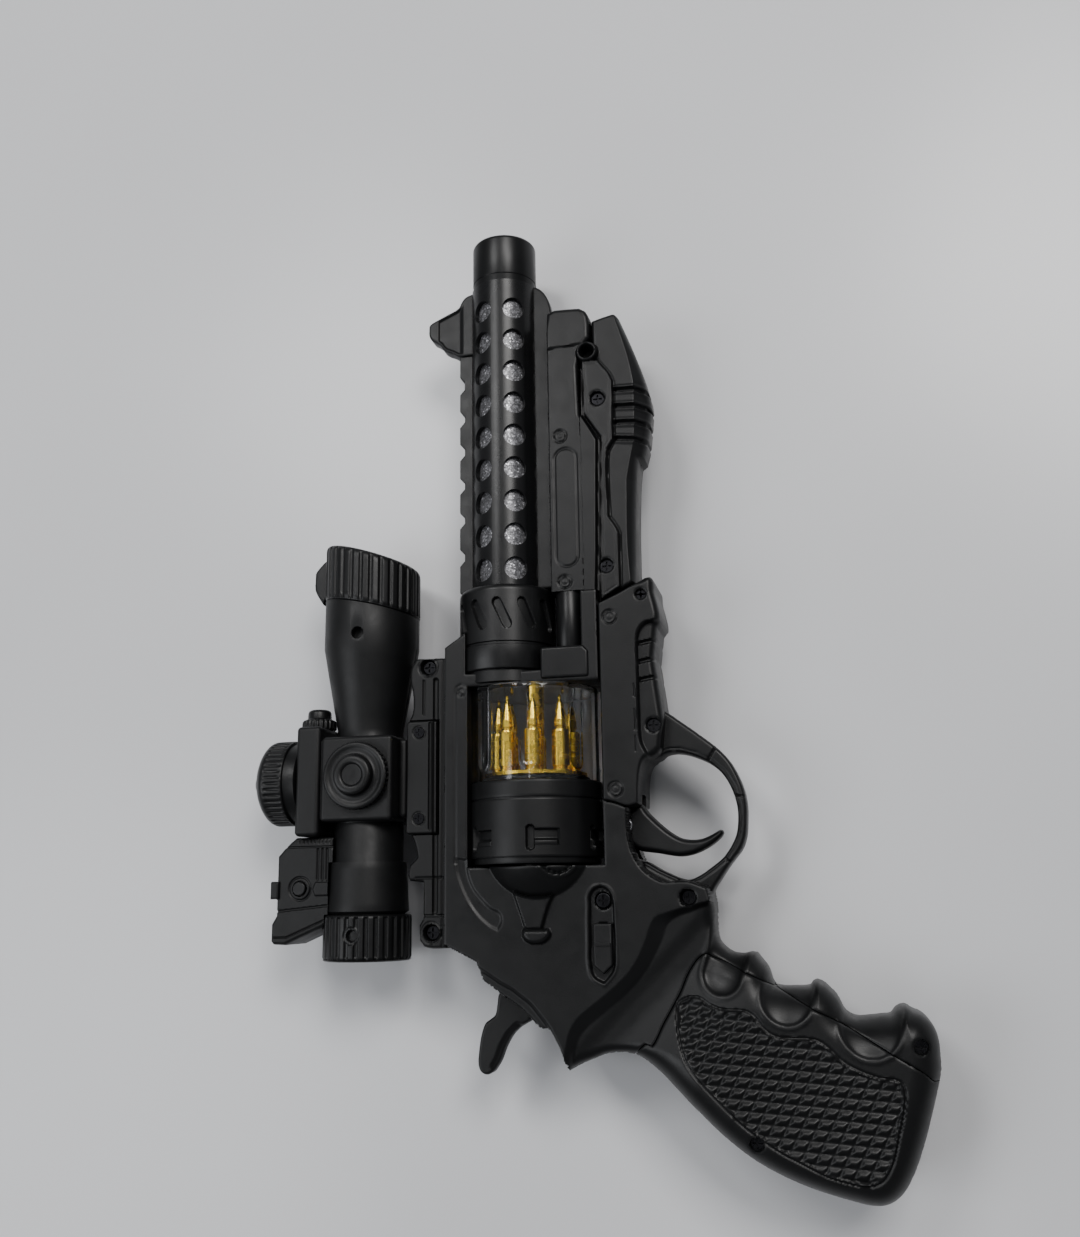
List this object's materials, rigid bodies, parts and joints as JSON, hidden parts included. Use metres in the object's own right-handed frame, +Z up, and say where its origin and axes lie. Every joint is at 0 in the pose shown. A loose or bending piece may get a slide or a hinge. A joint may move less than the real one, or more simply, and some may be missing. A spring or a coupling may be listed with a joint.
{
  "type": "toy revolver",
  "caption": "Battery toy revolver with a vented light-up barrel, clear turning drum with gold dummy rounds, chequered grip and a clip-on toy scope with a reflex sight.",
  "frame": {"origin": "centre of the bottom of the bounding box, the toy lying on its left side with its parting plane level", "axes": "+Z up out of the table (the toy's right side is up), +Y along the barrel to the muzzle, +X from the sights towards the grip"},
  "size_m": [0.215, 0.3116, 0.0426],
  "materials": {
    "shell_black": "satin moulded ABS",
    "grip_black": "satin moulded ABS, chequered",
    "barrel_black": "semi-gloss moulded",
    "trim_black": "matt moulded",
    "scope_black": "satin moulded",
    "knob_black": "matt moulded, knurled",
    "clear_plastic": "clear moulded",
    "lens_clear": "clear",
    "film_silver": "sparkling silver film",
    "gold_plated": "gold plated, bright",
    "steel": "zinc plated",
    "gear_white": "natural nylon",
    "board_green": "lacquered board",
    "switch_black": "moulded",
    "led_white": "clear epoxy",
    "cell_wrap": "plain wrap",
    "contact_steel": "nickel plated"
  },
  "bodies": {
    "frame": {"frame_right_shell": "shell_black", "frame_left_shell": "shell_black", "foregrip_right": "shell_black", "foregrip_left": "shell_black", "underlug_right": "shell_black", "underlug_left": "shell_black", "light_housing_right": "shell_black", "light_housing_left": "shell_black", "barrel_tube": "barrel_black", "muzzle_cap": "barrel_black", "barrel_collar": "barrel_black", "ejector_shroud": "barrel_black", "crane_block": "barrel_black", "barrel_rib": "trim_black", "front_sight": "trim_black", "led_holder": "trim_black", "scope_shell_right": "scope_black", "scope_shell_left": "scope_black", "reflex_body": "scope_black", "mount_base": "scope_black", "mount_clamp": "scope_black", "objective_ring": "knob_black", "eyepiece_ring": "knob_black", "reflex_button": "knob_black", "muzzle_lens": "lens_clear", "light_lens": "lens_clear", "objective_lens": "lens_clear", "eyepiece_lens": "lens_clear", "reflex_lens": "lens_clear", "glitter_sleeve": "film_silver", "drum_axle": "steel", "pivot_pins": "steel", "torsion_springs": "steel", "housing_screws": "steel", "mount_screws": "steel", "clamp_screws": "steel", "motor": "steel", "speaker": "steel", "circuit_board": "board_green", "microswitch": "switch_black", "slide_switch": "switch_black", "barrel_led": "led_white", "light_led": "led_white", "battery_cells": "cell_wrap", "battery_contacts": "contact_steel", "battery_springs": "contact_steel"},
    "trigger": {"trigger": "trim_black"},
    "hammer": {"hammer": "trim_black"},
    "drum": {"drum_body": "trim_black", "clear_drum": "clear_plastic", "round_tray": "gold_plated", "dummy_rounds": "gold_plated", "drum_gear": "gear_white"},
    "pinion": {"motor_pinion": "gear_white"},
    "power_switch": {"power_slider": "trim_black"},
    "side_turret": {"side_turret_knob": "knob_black"},
    "top_turret": {"top_turret_knob": "knob_black"},
    "windage": {"windage_knob": "knob_black"},
    "battery_cover": {"grip_battery_cover": "grip_black", "cover_screw": "steel"}
  },
  "joints": [
    {"name": "trigger_pull", "type": "hinge", "parent": "frame", "child": "trigger", "pos_m": [0.0196, -0.05005, 0.0213], "axis": [0, 0, -1], "range_deg": [0, 12], "stiffness_Nm_per_rad": 0.05, "springref_deg": -28.65},
    {"name": "hammer_cock", "type": "hinge", "parent": "frame", "child": "hammer", "pos_m": [-0.0114, -0.09855, 0.0213], "axis": [0, 0, 1], "range_deg": [0, 20], "stiffness_Nm_per_rad": 0.05, "springref_deg": -28.65},
    {"name": "drum_spin", "type": "hinge", "parent": "frame", "child": "drum", "pos_m": [-0.0094, -0.04155, 0.0213], "axis": [0, 1, 0], "continuous": true},
    {"name": "pinion_spin", "type": "hinge", "parent": "frame", "child": "pinion", "pos_m": [0.0035, -0.06655, 0.0213], "axis": [0, 1, 0], "continuous": true},
    {"name": "power_slide", "type": "slide", "parent": "frame", "child": "power_switch", "axis": [0, 1, 0], "range_m": [0, 0.003]},
    {"name": "side_turret_turn", "type": "hinge", "parent": "frame", "child": "side_turret", "pos_m": [-0.0653, -0.03225, 0.0373], "axis": [0, 0, 1], "continuous": true},
    {"name": "top_turret_turn", "type": "hinge", "parent": "frame", "child": "top_turret", "pos_m": [-0.0964, -0.03255, 0.0213], "axis": [-1, 0, 0], "continuous": true},
    {"name": "windage_turn", "type": "hinge", "parent": "frame", "child": "windage", "pos_m": [-0.085, -0.01255, 0.0213], "axis": [0, 1, 0], "continuous": true},
    {"name": "battery_cover_lift", "type": "slide", "parent": "frame", "child": "battery_cover", "axis": [0, 0, 1], "range_m": [0, 0.04]}
  ],
  "couplings": [
    {"joint": "pinion_spin", "follows": "drum_spin", "ratio": -3}
  ]
}
